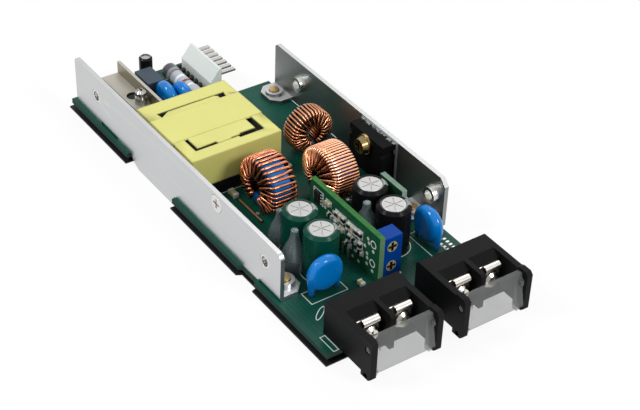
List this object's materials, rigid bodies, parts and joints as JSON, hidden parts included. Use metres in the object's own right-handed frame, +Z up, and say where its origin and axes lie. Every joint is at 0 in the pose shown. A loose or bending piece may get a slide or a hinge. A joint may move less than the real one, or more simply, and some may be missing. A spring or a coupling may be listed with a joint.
{
  "type": "open-frame switching power supply",
  "caption": "Open-frame switching power supply: circuit board between bent aluminium side plates, with taped transformer, wound chokes and screw terminals under clear hinged covers.",
  "frame": {"origin": "centre of the footprint, on the surface that the supply stands on", "axes": "+X from the header end to the terminal end, +Y from the near side plate to the far one, +Z up from the board"},
  "size_m": [0.1512, 0.0588, 0.0209],
  "materials": {
    "pcb_green": "solder mask green, semi-gloss",
    "module_pcb": "bright green solder mask",
    "black_sheet": "matt black insulating film",
    "foam": "grey foam",
    "plate_alu": "mill-finish aluminium sheet",
    "zinc_steel": "bright zinc plate",
    "brass": "plain brass",
    "black_epoxy": "moulded black epoxy",
    "thermal_pad": "grey thermal pad",
    "tinned_wire": "tinned leads",
    "ferrite": "sintered ferrite",
    "bobbin_black": "black bobbin moulding",
    "coil": "enamelled copper winding",
    "yellow_tape": "yellow polyester tape",
    "core_blue": "blue coated powder core",
    "core_dark": "dark coated powder core",
    "copper_wire": "enamelled copper wire",
    "can_alu": "bright aluminium can",
    "green_sleeve": "dark green shrink sleeve",
    "black_sleeve": "black shrink sleeve",
    "disc_blue": "blue dipped coating",
    "box_grey": "slate grey case",
    "chip_black": "small moulded chips",
    "chip_tan": "tan surface chips",
    "trimmer_blue": "blue moulding",
    "rotor_cream": "cream moulding",
    "block_black": "black terminal moulding",
    "clear_cover": "clear moulded plastic",
    "header_white": "white moulding",
    "sink_tan": "tan passivated metal",
    "fuse_grey": "grey tube",
    "glue": "pale hot-melt glue"
  },
  "bodies": {
    "supply": {"main_board": "pcb_green", "insulating_sheet": "black_sheet", "sheet_pads": "foam", "near_side_plate": "plate_alu", "far_side_plate": "plate_alu", "clinch_nuts": "zinc_steel", "bracket_screws": "brass", "countersunk_screw": "zinc_steel", "device_screw": "brass", "far_device": "black_epoxy", "device_pad": "thermal_pad", "device_leads": "tinned_wire", "transformer_core": "ferrite", "transformer_bobbin": "bobbin_black", "transformer_winding": "coil", "transformer_tape": "yellow_tape", "transformer_pins": "tinned_wire", "near_choke_core": "core_blue", "near_choke_wire": "copper_wire", "small_choke_core": "core_dark", "small_choke_wire": "copper_wire", "far_choke_core": "core_blue", "far_choke_wire": "copper_wire", "capacitor_cans": "can_alu", "green_sleeves": "green_sleeve", "black_sleeves": "black_sleeve", "small_capacitor": "black_sleeve", "front_discs": "disc_blue", "rear_discs": "disc_blue", "box_capacitor": "box_grey", "component_leads": "tinned_wire", "control_board": "module_pcb", "control_chips": "chip_black", "board_pins": "tinned_wire", "sense_board": "module_pcb", "trimmer_bodies": "trimmer_blue", "left_terminal_block": "block_black", "right_terminal_block": "block_black", "terminal_plates": "zinc_steel", "wire_clamps": "zinc_steel", "terminal_screws": "zinc_steel", "terminal_legs": "brass", "header_base": "header_white", "header_pins": "tinned_wire", "bead_row": "black_epoxy", "rear_heat_sink": "sink_tan", "rear_rectifier": "black_epoxy", "sink_post": "brass", "sink_screw": "zinc_steel", "fuse_body": "fuse_grey", "fuse_caps": "zinc_steel", "glue_blobs": "glue", "jumper_wire": "copper_wire", "surface_chips": "chip_tan"},
    "left_cover": {"left_cover": "clear_cover"},
    "right_cover": {"right_cover": "clear_cover"},
    "upper_rotor": {"upper_rotor": "rotor_cream"},
    "lower_rotor": {"lower_rotor": "rotor_cream"}
  },
  "joints": [
    {"name": "left_cover_hinge", "type": "hinge", "parent": "supply", "child": "left_cover", "pos_m": [0.07356, -0.01367, 0.0114], "axis": [0, -1, 0], "range_deg": [0, 105]},
    {"name": "right_cover_hinge", "type": "hinge", "parent": "supply", "child": "right_cover", "pos_m": [0.07356, 0.01542, 0.0114], "axis": [0, -1, 0], "range_deg": [0, 105]},
    {"name": "lower_rotor_turn", "type": "hinge", "parent": "supply", "child": "lower_rotor", "pos_m": [0.04621, 0.00308, 0.0071], "axis": [1, 0, 0], "range_deg": [-135, 135]},
    {"name": "upper_rotor_turn", "type": "hinge", "parent": "supply", "child": "upper_rotor", "pos_m": [0.04621, 0.00308, 0.0136], "axis": [1, 0, 0], "range_deg": [-135, 135]}
  ]
}
